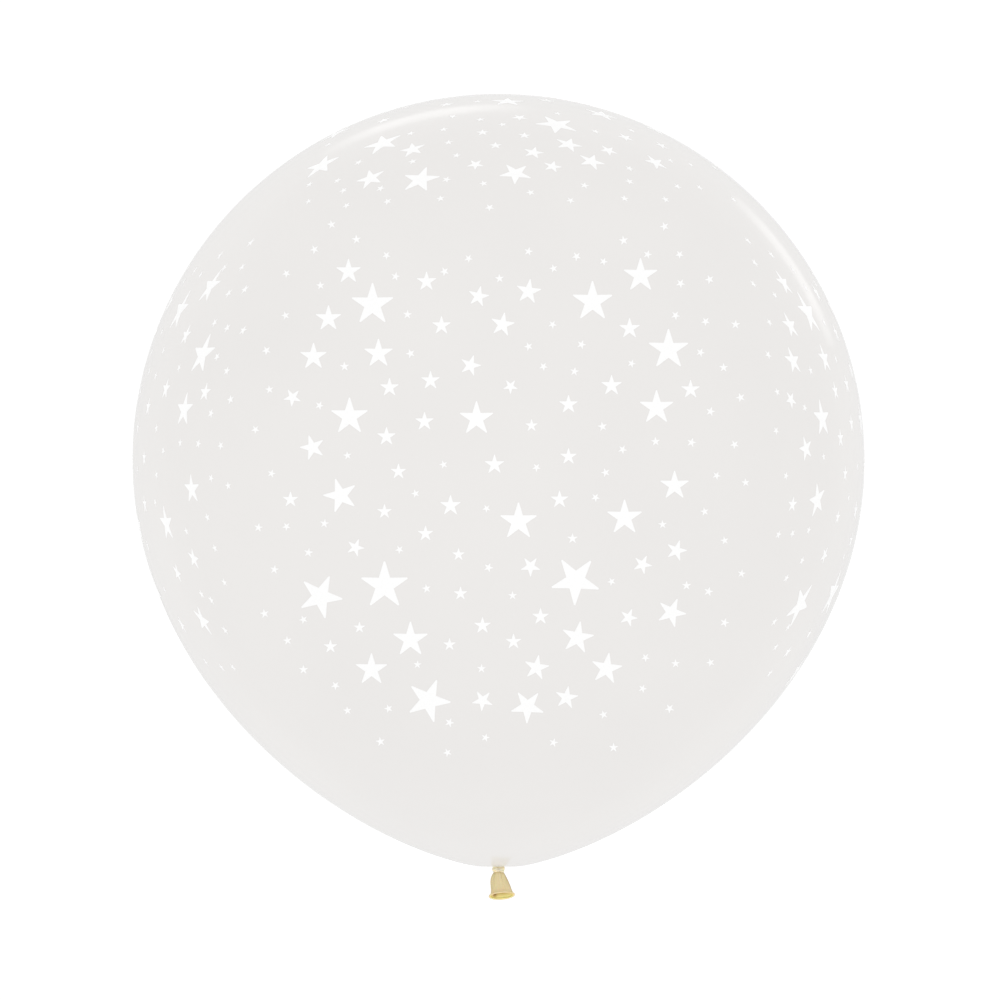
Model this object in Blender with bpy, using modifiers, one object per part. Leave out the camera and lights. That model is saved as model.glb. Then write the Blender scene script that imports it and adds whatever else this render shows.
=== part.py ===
"""A round latex balloon, blown up, tied and lying on its side.

The balloon is one moulded skin: a body like a ball that narrows to a neck, the knot tied in the neck,
the flattened tail below the knot and the rolled lip round its mouth. The blown-up body is sealed by the
knot, so it is one solid. Only the tail below the knot is open.

Each shape is made upright, with its axis along Z and the centre of the body's widest ring at the origin.
It is then laid down: the crown points along +Y, the tail along -Y, and the side that faces up along +Z.
The origin of the world is the middle of the small flat on which the balloon rests.
"""

import math

import bmesh
import bpy
from mathutils import Matrix, Vector

# Driving dimensions of the body, in metres
BODY_RADIUS = 0.450
CROWN_HEIGHT = 0.450
BELLY_LENGTH = 0.503
REST_PATCH_RADIUS = 0.045

# Below its widest ring the body narrows as (depth ** BELLY_BOW) + (radius ** BELLY_TAPER) = 1,
# with depth and radius as shares of BELLY_LENGTH and BODY_RADIUS
BELLY_BOW = 2.00
BELLY_TAPER = 1.55

# Round the knot the skin is drawn up into a shallow dimple
DIMPLE_DEPTH = 0.0034
DIMPLE_REACH = 0.0200

# Driving dimensions of the neck and the knot
NECK_RADIUS = 0.0052
KNOT_ROLL_RADIUS = 0.0036
KNOT_BITE = 0.0010
KNOT_SINK = 0.0003
KNOT_TILT = math.radians(9.0)

# Driving dimensions of the tail below the knot, which is wide and flat
TAIL_LENGTH = 0.0280
WAIST_WIDTH = 0.0110
WAIST_THICKNESS = 0.0092
TAIL_WIDTH = 0.0246
TAIL_THICKNESS = 0.0078
MOUTH_WIDTH = 0.0302
MOUTH_THICKNESS = 0.0124
TAIL_SWELL = 3.0
MOUTH_FLARE = 8.0
TAIL_LEAN = 0.0039
LEAN_START = 0.15
TAIL_CURL = 0.0030
MOUTH_TILT = math.radians(44.0)
MOUTH_ROLL = math.radians(6.0)
LIP_BEAD_RADIUS = 0.0011
TAIL_WALL = 0.0008
POCKET_START = 0.35
TAIL_ROOT_SHARE = 0.6

# How finely the solids are divided
BODY_SIDES = 64
CROWN_RINGS = 16
BELLY_RINGS = 20
KNOT_SIDES = 24
KNOT_ROLL_SIDES = 10
TAIL_SIDES = 28
TAIL_RINGS = 12
BEAD_RINGS = 7
POCKET_RINGS = 8

# The laid-down pose
PATCH_DEPTH = BODY_RADIUS - math.sqrt(BODY_RADIUS ** 2 - REST_PATCH_RADIUS ** 2)
AXIS_HEIGHT = BODY_RADIUS - PATCH_DEPTH
LAID_DOWN = Matrix.Translation((0.0, 0.0, AXIS_HEIGHT)) @ Matrix.Rotation(math.radians(-90.0), 4, "X")

LATEX_COLOUR = (0.84, 0.82, 0.79, 1.0)
LATEX_ROUGHNESS = 0.38


def clear_scene():
    """Start from an empty scene."""
    for old in list(bpy.data.objects):
        bpy.data.objects.remove(old)


def new_collection(name):
    """A collection of the scene."""
    group = bpy.data.collections.new(name)
    bpy.context.scene.collection.children.link(group)
    return group


def latex():
    """Pale latex, the same all over."""
    material = bpy.data.materials.new("latex")
    material.use_nodes = True
    shader = material.node_tree.nodes["Principled BSDF"]
    shader.inputs["Base Color"].default_value = LATEX_COLOUR
    shader.inputs["Roughness"].default_value = LATEX_ROUGHNESS
    shader.inputs["Metallic"].default_value = 0.0
    return material


def new_object(name, mesh, group):
    """An object in a collection, in the laid-down pose."""
    thing = bpy.data.objects.new(name, mesh)
    thing.matrix_world = LAID_DOWN
    group.objects.link(thing)
    return thing


def mark_as_tool(thing):
    """A shape that only cuts or joins another isn't part of the object."""
    thing.hide_render = True
    thing.display_type = "WIRE"


def belly_radius(depth):
    """Radius of the body at a depth below its widest ring."""
    share = min(depth / BELLY_LENGTH, 1.0)
    return BODY_RADIUS * (1.0 - share ** BELLY_BOW) ** (1.0 / BELLY_TAPER)


def dimple(radius):
    """How far the skin is drawn up at a radius from the axis."""
    return DIMPLE_DEPTH * math.exp(-(radius / DIMPLE_REACH) ** 2)


def belly_bottom():
    """Depth at which the belly, without its dimple, has come down to the neck's radius."""
    share = 1.0 - (NECK_RADIUS / BODY_RADIUS) ** BELLY_TAPER
    return BELLY_LENGTH * share ** (1.0 / BELLY_BOW)


def neck_depth():
    """Depth at which the neck leaves the belly, inside the dimple."""
    return belly_bottom() - dimple(NECK_RADIUS)


def knot_depth():
    """Depth of the knot's middle below the widest ring, with the knot sunk a little into the dimple."""
    return neck_depth() + KNOT_ROLL_RADIUS - KNOT_SINK


def body_profile():
    """Half outline of the body and its neck, from the crown down to the middle of the knot."""
    points = [(0.0, CROWN_HEIGHT)]
    for ring in range(1, CROWN_RINGS + 1):
        turn = 0.5 * math.pi * ring / CROWN_RINGS
        points.append((BODY_RADIUS * math.sin(turn), CROWN_HEIGHT * math.cos(turn)))
    for ring in range(1, BELLY_RINGS + 1):
        depth = belly_bottom() * math.sin(0.5 * math.pi * ring / BELLY_RINGS)
        radius = belly_radius(depth)
        points.append((radius, dimple(radius) - depth))
    points.append((NECK_RADIUS, -knot_depth()))
    points.append((0.0, -knot_depth()))
    return points


def make_body(group):
    """The body and the neck, turned round the balloon's axis."""
    points = [(radius, 0.0, height) for radius, height in body_profile()]
    edges = [(index, index + 1) for index in range(len(points) - 1)]
    mesh = bpy.data.meshes.new("balloon")
    mesh.from_pydata(points, edges, [])
    body = new_object("balloon", mesh, group)
    body.data.materials.append(latex())
    turning = body.modifiers.new("turning", "SCREW")
    turning.axis = "Z"
    turning.steps = BODY_SIDES
    turning.render_steps = BODY_SIDES
    turning.use_merge_vertices = True
    turning.merge_threshold = 0.00005
    return body


def make_knot(group):
    """The knot, a fat roll of latex that hugs the neck, a little aslant."""
    mesh = bpy.data.meshes.new("knot")
    knot = new_object("knot", mesh, group)
    roll = bmesh.new()
    ring_radius = NECK_RADIUS - KNOT_BITE
    points = []
    for step in range(KNOT_ROLL_SIDES):
        turn = 2.0 * math.pi * step / KNOT_ROLL_SIDES
        radius = ring_radius + KNOT_ROLL_RADIUS * math.cos(turn)
        points.append(roll.verts.new((radius, 0.0, KNOT_ROLL_RADIUS * math.sin(turn))))
    edges = [roll.edges.new((points[step - 1], points[step])) for step in range(KNOT_ROLL_SIDES)]
    bmesh.ops.spin(roll, geom=points + edges, axis=(0.0, 0.0, 1.0), cent=(0.0, 0.0, 0.0),
                   angle=2.0 * math.pi, steps=KNOT_SIDES, use_merge=True)
    bmesh.ops.remove_doubles(roll, verts=roll.verts, dist=0.00001)
    bmesh.ops.recalc_face_normals(roll, faces=roll.faces)
    roll.transform(Matrix.Translation((0.0, 0.0, -knot_depth())) @ Matrix.Rotation(KNOT_TILT, 4, "Y"))
    roll.to_mesh(mesh)
    roll.free()
    mark_as_tool(knot)
    return knot


def swell(share, waist, full, mouth):
    """A width of the tail: it swells quickly below the waist and flares at the mouth."""
    below_waist = (full - waist) * (1.0 - (1.0 - share) ** TAIL_SWELL)
    at_mouth = (mouth - full) * share ** MOUTH_FLARE
    return waist + below_waist + at_mouth


def tail_ring(share, offset=0.0, beyond=0.0):
    """Points round the tail at a share of its length.

    The ring is grown sideways by offset, and moved out of the mouth by beyond.
    """
    half_width = 0.5 * swell(share, WAIST_WIDTH, TAIL_WIDTH, MOUTH_WIDTH) + offset
    half_thickness = 0.5 * swell(share, WAIST_THICKNESS, TAIL_THICKNESS, MOUTH_THICKNESS) + offset
    top = knot_depth() + KNOT_ROLL_RADIUS
    leaning = max(0.0, (share - LEAN_START) / (1.0 - LEAN_START))
    lean = TAIL_LEAN * leaning * leaning * (3.0 - 2.0 * leaning)
    centre = Vector((lean, -TAIL_CURL * share ** 2, -top - TAIL_LENGTH * share))
    tilt = MOUTH_TILT * share ** 2
    turn = Matrix.Rotation(-tilt, 3, "X") @ Matrix.Rotation(-MOUTH_ROLL * share ** 2, 3, "Y")
    ring = []
    for side in range(TAIL_SIDES):
        angle = 2.0 * math.pi * side / TAIL_SIDES
        flat = Vector((half_width * math.cos(angle), half_thickness * math.sin(angle), -beyond))
        ring.append(centre + turn @ flat)
    return ring


def tail_root():
    """The tail's end inside the neck, a ring that stays clear of the neck's side."""
    radius = TAIL_ROOT_SHARE * NECK_RADIUS
    ring = []
    for side in range(TAIL_SIDES):
        angle = 2.0 * math.pi * side / TAIL_SIDES
        ring.append(Vector((radius * math.cos(angle), radius * math.sin(angle), -neck_depth())))
    return ring


def tail_rings():
    """All rings of the tail: down its outside, round the rolled lip and up its inside."""
    rings = [tail_root()]
    for ring in range(TAIL_RINGS + 1):
        rings.append(tail_ring(ring / TAIL_RINGS))
    for ring in range(1, BEAD_RINGS + 1):
        turn = math.pi * (ring / BEAD_RINGS * 1.25 - 0.25)
        sideways = LIP_BEAD_RADIUS * math.cos(turn)
        rings.append(tail_ring(1.0, sideways, LIP_BEAD_RADIUS * (1.0 + math.sin(turn))))
    for ring in range(POCKET_RINGS + 1):
        share = 1.0 - (1.0 - POCKET_START) * ring / POCKET_RINGS
        rings.append(tail_ring(share, offset=-TAIL_WALL))
    return rings


def make_tail(group):
    """The flattened tail with its rolled lip and the open pocket inside it."""
    shape = bmesh.new()
    rings = [[shape.verts.new(point) for point in ring] for ring in tail_rings()]
    for above, below in zip(rings, rings[1:]):
        for side in range(TAIL_SIDES):
            after = (side + 1) % TAIL_SIDES
            shape.faces.new((above[side], below[side], below[after], above[after]))
    shape.faces.new(rings[0])
    shape.faces.new(rings[-1])
    bmesh.ops.recalc_face_normals(shape, faces=shape.faces)
    mesh = bpy.data.meshes.new("tail")
    shape.to_mesh(mesh)
    shape.free()
    tail = new_object("tail", mesh, group)
    mark_as_tool(tail)
    return tail


def make_ground(group):
    """A block below the floor, which cuts the small flat that the balloon rests on."""
    size = 2.0 * BODY_RADIUS
    block = bmesh.new()
    bmesh.ops.create_cube(block, size=size)
    block.transform(LAID_DOWN.inverted() @ Matrix.Translation((0.0, 0.0, -0.5 * size)))
    mesh = bpy.data.meshes.new("ground")
    block.to_mesh(mesh)
    block.free()
    ground = new_object("ground", mesh, group)
    mark_as_tool(ground)
    return ground


def combine(thing, other, operation):
    """Join another shape to a piece, or cut it away."""
    step = thing.modifiers.new(other.name, "BOOLEAN")
    step.operation = operation
    step.object = other
    step.solver = "EXACT"


def build():
    """Model the balloon."""
    clear_scene()
    parts = new_collection("round balloon")
    tools = new_collection("cutters")
    balloon = make_body(parts)
    combine(balloon, make_knot(tools), "UNION")
    combine(balloon, make_tail(tools), "UNION")
    combine(balloon, make_ground(tools), "DIFFERENCE")
    balloon.data.shade_smooth()


build()
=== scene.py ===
# %% [markdown]
# # A round balloon, lying on its side
# The real thing is one skin of undyed latex. Blown up to 90 cm it is a few hundredths of a millimetre
# thick, pale and smooth. Where the air doesn't stretch it, in the knot and the tail, it stays amber.
# White stars are printed on it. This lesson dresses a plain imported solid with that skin, piece by piece.

# %% Load the frame
import math
import random

import bmesh
import bpy
import numpy as np
from mathutils import Matrix, Vector


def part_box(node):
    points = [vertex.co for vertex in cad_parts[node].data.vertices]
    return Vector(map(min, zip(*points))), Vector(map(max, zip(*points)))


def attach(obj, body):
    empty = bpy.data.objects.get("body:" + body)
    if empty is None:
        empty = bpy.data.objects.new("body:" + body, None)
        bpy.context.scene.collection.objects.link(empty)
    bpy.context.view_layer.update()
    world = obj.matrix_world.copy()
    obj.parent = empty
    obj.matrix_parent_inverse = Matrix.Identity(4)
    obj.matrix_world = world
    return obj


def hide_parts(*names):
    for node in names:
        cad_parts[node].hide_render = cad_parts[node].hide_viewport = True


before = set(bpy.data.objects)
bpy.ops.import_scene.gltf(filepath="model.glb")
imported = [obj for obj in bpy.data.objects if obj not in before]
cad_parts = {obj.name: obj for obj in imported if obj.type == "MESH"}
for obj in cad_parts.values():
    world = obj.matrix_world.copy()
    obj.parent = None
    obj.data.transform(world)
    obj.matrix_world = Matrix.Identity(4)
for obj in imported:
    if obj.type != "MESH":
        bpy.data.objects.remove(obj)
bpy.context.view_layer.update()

print("nodes:", sorted(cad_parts))

# %% [markdown]
# ## Sizes
# The balloon lies along Y, with its crown at +Y, its tail at -Y and its printed face up. The widest ring
# is at y = 0. What the solid's box shows is read from it, so that the skin fits the solid. The other
# sizes are those that the maker of the solid gives, in metres.

# %% Sizes of the balloon
low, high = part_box("balloon")
BODY_RADIUS = 0.5 * (high.x - low.x)
CROWN_HEIGHT = high.y
AXIS_HEIGHT = high.z - BODY_RADIUS

# The part below the widest ring: how far down it would come to a point, and its two curves.
BELLY_LENGTH = 0.503
BELLY_BOW = 2.00
BELLY_TAPER = 1.55
# The dimple round the knot, the neck in it, and the roll of the knot round that neck.
DIMPLE_DEPTH = 0.0034
DIMPLE_REACH = 0.0200
NECK_RADIUS = 0.0052
KNOT_ROLL_RADIUS = 0.0036
KNOT_SINK = 0.0003

print("radius", round(BODY_RADIUS, 4), "crown", round(CROWN_HEIGHT, 4), "axis", round(AXIS_HEIGHT, 4))


# %% [markdown]
# ## The shape of the skin
# Air pushes the same everywhere, so the upper half comes out as a ball and the lower half draws in to the
# neck like a pear. One function gives the radius at any place along the axis. The film, the stars and the
# neck all ask that one function, so that nothing has to be fitted to anything else.

# %% Radius along the axis
def skin_radius(y):
    """Radius of the skin at places y along the axis."""
    y = np.asarray(y, float)
    up = np.clip(y / CROWN_HEIGHT, 0.0, 1.0)
    down = np.clip(-y / BELLY_LENGTH, 0.0, 1.0)
    ball = np.sqrt(1.0 - up ** 2)
    pear = (1.0 - down ** BELLY_BOW) ** (1.0 / BELLY_TAPER)
    return BODY_RADIUS * np.where(y > 0.0, ball, pear)


def dimple(radius):
    """How far the skin is drawn up round the knot, at a radius from the axis."""
    return DIMPLE_DEPTH * math.exp(-(radius / DIMPLE_REACH) ** 2)


neck_share = 1.0 - (NECK_RADIUS / BODY_RADIUS) ** BELLY_TAPER
BELLY_BOTTOM = BELLY_LENGTH * neck_share ** (1.0 / BELLY_BOW)
NECK_DEPTH = BELLY_BOTTOM - dimple(NECK_RADIUS)
KNOT_DEPTH = NECK_DEPTH + KNOT_ROLL_RADIUS - KNOT_SINK
print("neck at y =", round(-NECK_DEPTH, 4), "knot at y =", round(-KNOT_DEPTH, 4))


# %% [markdown]
# A balloon that lies on a floor settles on a small flat. The skin there turns into the flat softly, so
# the points below the floor are pushed up with a smooth curve and not cut off.

# %% The flat that the balloon rests on
SETTLE_SOFTNESS = 0.0003


def settle(points):
    """Push what would lie below the floor up to it, softly. Changes the points in place."""
    points[:, 2] = SETTLE_SOFTNESS * np.logaddexp(0.0, points[:, 2] / SETTLE_SOFTNESS)
    return points


lowest = float(settle(np.array([[0.0, 0.0, AXIS_HEIGHT - BODY_RADIUS]]))[0, 2])
print("the lowest point of the body settles", round(lowest, 6), "m above the floor")


# %% [markdown]
# ## Helpers
# Three small helpers keep the cells below short: one links a mesh to the scene with its materials, one
# reads the points of a mesh as an array, and one puts changed points back.

# %% Helpers for objects
def make_object(name, mesh, materials):
    """Link a smooth-shaded mesh with its materials to the scene."""
    mesh.name = name
    thing = bpy.data.objects.new(name, mesh)
    bpy.context.scene.collection.objects.link(thing)
    for material in materials:
        mesh.materials.append(material)
    mesh.shade_smooth()
    return thing


def points_of(mesh):
    """The places of a mesh's vertices as an array."""
    flat = np.zeros(len(mesh.vertices) * 3)
    mesh.vertices.foreach_get("co", flat)
    return flat.reshape(-1, 3)


def move_points(mesh, points):
    """Put the vertices of a mesh in new places."""
    mesh.vertices.foreach_set("co", np.asarray(points, float).ravel())
    mesh.update()


# %% [markdown]
# ## Materials
# A material is a small graph of nodes. The real surfaces vary a little from place to place, so each graph
# starts from the place on the balloon, makes smooth noise from it and turns that into a colour, a roughness
# or a height. One helper for each kind of node keeps the graphs short enough to read.

# %% An empty material and the place on the balloon
def new_material(name):
    """An empty node material with its shader, and the tree to add nodes to."""
    material = bpy.data.materials.new(name)
    material.use_nodes = True
    tree = material.node_tree
    return material, tree, tree.nodes["Principled BSDF"]


def place_on_object(tree):
    """The place of a shading point in the balloon's own frame, in metres."""
    return tree.nodes.new("ShaderNodeTexCoord").outputs["Object"]


# %% [markdown]
# Blender's noise keeps mostly to the middle of the range from 0 to 1. A ramp turns it into colours and a
# remap turns it into another number, such as a roughness.

# %% Noise, ramp and remap
NOISE_RANGE = (0.3, 0.7)


def noise(tree, place, scale, detail=3.0, stretch=(1.0, 1.0, 1.0)):
    """Smooth noise over the place. Stretch below 1 draws it out along that axis."""
    spread = tree.nodes.new("ShaderNodeMapping")
    spread.inputs["Scale"].default_value = stretch
    tree.links.new(place, spread.inputs["Vector"])
    cloud = tree.nodes.new("ShaderNodeTexNoise")
    cloud.inputs["Scale"].default_value = scale
    cloud.inputs["Detail"].default_value = detail
    tree.links.new(spread.outputs["Vector"], cloud.inputs["Vector"])
    return cloud.outputs["Fac"]


def ramp(tree, value, stops):
    """Turn a value into colours. Stops are (position, colour)."""
    band = tree.nodes.new("ShaderNodeValToRGB")
    tree.links.new(value, band.inputs["Fac"])
    while len(band.color_ramp.elements) < len(stops):
        band.color_ramp.elements.new(0.5)
    for element, (position, colour) in zip(band.color_ramp.elements, stops):
        element.position = position
        element.color = (*colour, 1.0)
    return band.outputs["Color"]


def remap(tree, value, from_low, from_high, to_low, to_high):
    """Rescale a value from one range to another, clamped."""
    scale = tree.nodes.new("ShaderNodeMapRange")
    scale.inputs["From Min"].default_value = from_low
    scale.inputs["From Max"].default_value = from_high
    scale.inputs["To Min"].default_value = to_low
    scale.inputs["To Max"].default_value = to_high
    tree.links.new(value, scale.inputs["Value"])
    return scale.outputs["Result"]


# %% [markdown]
# Three more helpers tell how near a place is to a point, blend two colours, and raise fine relief.

# %% Distance, blend and bump
def distance_to(tree, place, point):
    """How far a shading point is from a point, in metres."""
    apart = tree.nodes.new("ShaderNodeVectorMath")
    apart.operation = "DISTANCE"
    apart.inputs[1].default_value = point
    tree.links.new(place, apart.inputs[0])
    return apart.outputs["Value"]


def mix(tree, share, first, second):
    """Blend two colours by a share from 0 to 1."""
    blend = tree.nodes.new("ShaderNodeMix")
    blend.data_type = "RGBA"
    tree.links.new(share, blend.inputs["Factor"])
    for socket, colour in ((blend.inputs[6], first), (blend.inputs[7], second)):
        if isinstance(colour, tuple):
            socket.default_value = (*colour, 1.0)
        else:
            tree.links.new(colour, socket)
    return blend.outputs[2]


def bump(tree, shader, height, depth):
    """Raise the surface by a height from 0 to 1, with its full depth in metres."""
    relief = tree.nodes.new("ShaderNodeBump")
    relief.inputs["Strength"].default_value = 1.0
    relief.inputs["Distance"].default_value = depth
    tree.links.new(height, relief.inputs["Height"])
    tree.links.new(relief.outputs["Normal"], shader.inputs["Normal"])


# %% [markdown]
# ### The stretched film
# Stretched latex is pale, faintly warm and evenly thin. It gets cloudier in slow patches and thicker,
# so more amber, in the last centimetres before the neck. What is the same everywhere is set on the shader
# itself. The gloss is low, because a strong mirror image of the white studio would melt the edge of the
# balloon into the background.

# %% The stretched film
FILM_PALE = (0.775, 0.760, 0.746)
FILM_CLOUDY = (0.785, 0.770, 0.755)
FILM_THICK = (0.745, 0.710, 0.650)
NECK_TINT_REACH = 0.026
FILM_CLOUDS = 5.0
FILM_STREAKS = 14.0
FILM_GRAIN = 60.0
FILM_GRAIN_DEPTH = 0.00006
FILM_ROUGHNESS = (0.10, 0.14)
FILM_GLOSS = 0.12


def film_latex():
    """Pale stretched latex that turns faintly amber at the neck."""
    material, tree, shader = new_material("film_latex")
    place = place_on_object(tree)
    clouds = noise(tree, place, FILM_CLOUDS)
    colour = ramp(tree, clouds, [(0.35, FILM_PALE), (0.65, FILM_CLOUDY)])
    from_neck = distance_to(tree, place, (0.0, -NECK_DEPTH, AXIS_HEIGHT))
    near_neck = remap(tree, from_neck, NECK_TINT_REACH, NECK_RADIUS, 0.0, 1.0)
    tree.links.new(mix(tree, near_neck, colour, FILM_THICK), shader.inputs["Base Color"])
    streaks = noise(tree, place, FILM_STREAKS, 4.0, (1.0, 0.25, 1.0))
    tree.links.new(remap(tree, streaks, *NOISE_RANGE, *FILM_ROUGHNESS), shader.inputs["Roughness"])
    bump(tree, shader, noise(tree, place, FILM_GRAIN, 2.0), FILM_GRAIN_DEPTH)
    shader.inputs["Specular IOR Level"].default_value = FILM_GLOSS
    return material


latex_film = film_latex()
print("film nodes:", len(latex_film.node_tree.nodes))


# %% [markdown]
# ### The printed ink
# The ink is an opaque white that stretches with the skin. It is duller than the latex and very finely
# broken up, because ink crazes when the balloon is blown up.

# %% The printed ink
INK_WHITE = (0.94, 0.94, 0.94)
INK_CRAZED = (0.91, 0.91, 0.905)
INK_GRAIN = 900.0
INK_GRAIN_DEPTH = 0.00003
INK_ROUGHNESS = (0.40, 0.52)
INK_GLOSS = 0.30


def star_ink():
    """White balloon ink, a little duller than the latex."""
    material, tree, shader = new_material("star_ink")
    place = place_on_object(tree)
    grain = noise(tree, place, INK_GRAIN)
    tree.links.new(ramp(tree, grain, [(0.4, INK_CRAZED), (0.6, INK_WHITE)]), shader.inputs["Base Color"])
    tree.links.new(remap(tree, grain, *NOISE_RANGE, *INK_ROUGHNESS), shader.inputs["Roughness"])
    bump(tree, shader, grain, INK_GRAIN_DEPTH)
    shader.inputs["Specular IOR Level"].default_value = INK_GLOSS
    return material


white_ink = star_ink()
print("ink nodes:", len(white_ink.node_tree.nodes))


# %% [markdown]
# ### The unstretched latex
# In the tail the skin is ten times thicker than in the film, so its own amber shows. Light goes through
# it, so the inside of the mouth, lit through the wall, glows gold: that glow is painted into the mouth's
# colour, and deep in the mouth painted shade darkens it. The knot is drawn out a little as it is pulled
# tight, so it is creamier. The folded edges of the tail are deeper in colour, and painted shade darkens the
# creases of the knot and the tail just below it, from a number that the mesh carries at each point. The
# same graph serves all three, each with colours of its own.

# %% The unstretched latex
TAIL_CREAM = (0.78, 0.64, 0.38)
TAIL_KHAKI = (0.74, 0.61, 0.33)
# Painted shadow just below the knot, mixed with the deeper colour of the tail's folded edges.
TAIL_FOLD_AND_SHADOW = (0.50, 0.37, 0.16)
# The inside of the mouth: a painted glow of light through the wall, and painted shade deep inside.
MOUTH_GLOW_GOLD = (0.96, 0.87, 0.42)
MOUTH_GLOW_AMBER = (0.95, 0.83, 0.34)
MOUTH_PAINTED_SHADE = (0.36, 0.22, 0.06)
KNOT_CREAM = (0.95, 0.83, 0.58)
KNOT_SHADE = (0.92, 0.79, 0.53)
# Painted shade in the creases of the knot.
KNOT_CREASE_SHADE = (0.82, 0.68, 0.44)
# The name of the number on the mesh for the deeper colour of folds and for painted shade.
FOLD_AND_SHADE_NAME = "fold_and_painted_shade"
LATEX_FOLDS = 260.0
LATEX_GRAIN = 1500.0
LATEX_GRAIN_DEPTH = 0.00006
LATEX_ROUGHNESS = (0.30, 0.42)
LATEX_GLOW = 0.3
LATEX_GLOW_COLOUR = (1.0, 0.6, 0.2)
LATEX_GLOW_REACH = 0.002


def thick_latex(name, light, deep, folded_or_shaded):
    """Latex that is hardly stretched: cloudy between a light and a deep colour, and a third in folds and
    painted shade.
    """
    material, tree, shader = new_material(name)
    place = place_on_object(tree)
    folds = noise(tree, place, LATEX_FOLDS, 3.0, (1.0, 0.35, 1.0))
    cloudy = ramp(tree, folds, [(0.35, deep), (0.65, light)])
    carried = tree.nodes.new("ShaderNodeAttribute")
    carried.attribute_name = FOLD_AND_SHADE_NAME
    tree.links.new(mix(tree, carried.outputs["Fac"], cloudy, folded_or_shaded), shader.inputs["Base Color"])
    tree.links.new(remap(tree, folds, *NOISE_RANGE, *LATEX_ROUGHNESS), shader.inputs["Roughness"])
    bump(tree, shader, noise(tree, place, LATEX_GRAIN), LATEX_GRAIN_DEPTH)
    shader.inputs["Subsurface Weight"].default_value = LATEX_GLOW
    shader.inputs["Subsurface Radius"].default_value = LATEX_GLOW_COLOUR
    shader.inputs["Subsurface Scale"].default_value = LATEX_GLOW_REACH
    return material


# The tail gets a painted shadow below the knot, the mouth a painted glow and painted shade, the knot
# painted shade in its creases.
amber_latex = thick_latex("amber_latex", TAIL_CREAM, TAIL_KHAKI, TAIL_FOLD_AND_SHADOW)
mouth_glow_and_shade = thick_latex("mouth_glow_and_shade", MOUTH_GLOW_GOLD, MOUTH_GLOW_AMBER, MOUTH_PAINTED_SHADE)
knot_latex = thick_latex("knot_latex", KNOT_CREAM, KNOT_SHADE, KNOT_CREASE_SHADE)
print("materials:", [material.name for material in bpy.data.materials])

# %% [markdown]
# ## The film
# The body is a turned shape, so it is spun from half its outline. The rings are close together near the
# neck, where the outline turns sharply.

# %% Half outline of the film
CROWN_RINGS = 64
BELLY_RINGS = 88
THROAT_RINGS = 4


def film_outline():
    """Half outline of the skin, from the crown pole down to the middle of the knot."""
    outline = [(0.0, CROWN_HEIGHT)]
    for ring in range(1, CROWN_RINGS + 1):
        turn = 0.5 * math.pi * ring / CROWN_RINGS
        outline.append((BODY_RADIUS * math.sin(turn), CROWN_HEIGHT * math.cos(turn)))
    for ring in range(1, BELLY_RINGS + 1):
        y = -BELLY_BOTTOM * math.sin(0.5 * math.pi * ring / BELLY_RINGS)
        radius = float(skin_radius(y))
        outline.append((radius, y + dimple(radius)))
    for ring in range(1, THROAT_RINGS + 1):
        outline.append((NECK_RADIUS, -NECK_DEPTH - (KNOT_DEPTH - NECK_DEPTH) * ring / THROAT_RINGS))
    return outline


half_outline = film_outline()
print("outline:", len(half_outline), "points")

# %% Spin the film
FILM_SIDES = 256


def spin_outline(outline, sides):
    """Turn a half outline of (radius, y) round the balloon's axis."""
    shape = bmesh.new()
    points = [shape.verts.new((radius, y, AXIS_HEIGHT)) for radius, y in outline]
    edges = [shape.edges.new(pair) for pair in zip(points, points[1:])]
    bmesh.ops.spin(shape, geom=points + edges, axis=(0.0, 1.0, 0.0), cent=(0.0, 0.0, AXIS_HEIGHT),
                   angle=2.0 * math.pi, steps=sides, use_merge=True)
    bmesh.ops.remove_doubles(shape, verts=shape.verts, dist=0.000001)
    bmesh.ops.recalc_face_normals(shape, faces=shape.faces)
    mesh = bpy.data.meshes.new("turned")
    shape.to_mesh(mesh)
    shape.free()
    return mesh


film_mesh = spin_outline(half_outline, FILM_SIDES)
print("film:", len(film_mesh.polygons), "faces")

# %% [markdown]
# The knot pulls the skin together, so short creases run out from the neck, some longer than others. They
# are pressed into the spun points, and then the whole film settles on the floor.

# %% Press the creases and finish the film
CREASES = 15
CREASE_PRESS = 0.0009
CREASE_REACH = 0.034
CREASE_VARIETY = 0.3
CREASE_WANDER = 1.3
CREASE_BALANCE = 0.25


def crease(points):
    """Press creases into the skin round the neck. Changes the points in place."""
    across = points[:, 0]
    upright = points[:, 2] - AXIS_HEIGHT
    radius = np.hypot(across, upright)
    turn = np.arctan2(upright, across)
    length = CREASE_REACH * (1.0 - CREASE_VARIETY + CREASE_VARIETY * np.sin(3.0 * turn + 1.0))
    near = np.clip(1.0 - (radius - NECK_RADIUS) / length, 0.0, 1.0) * (points[:, 1] < 0.0)
    valley = 1.0 - np.abs(np.sin(0.5 * (CREASES * turn + CREASE_WANDER * np.sin(2.0 * turn))))
    points[:, 1] += CREASE_PRESS * near ** 2 * (valley ** 2 - CREASE_BALANCE)
    return points


move_points(film_mesh, settle(crease(points_of(film_mesh))))
film = make_object("balloon_film", film_mesh, [latex_film])
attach(film, "root")
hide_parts("balloon")
print("film reaches from y =", round(float(points_of(film_mesh)[:, 1].min()), 4))
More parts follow.
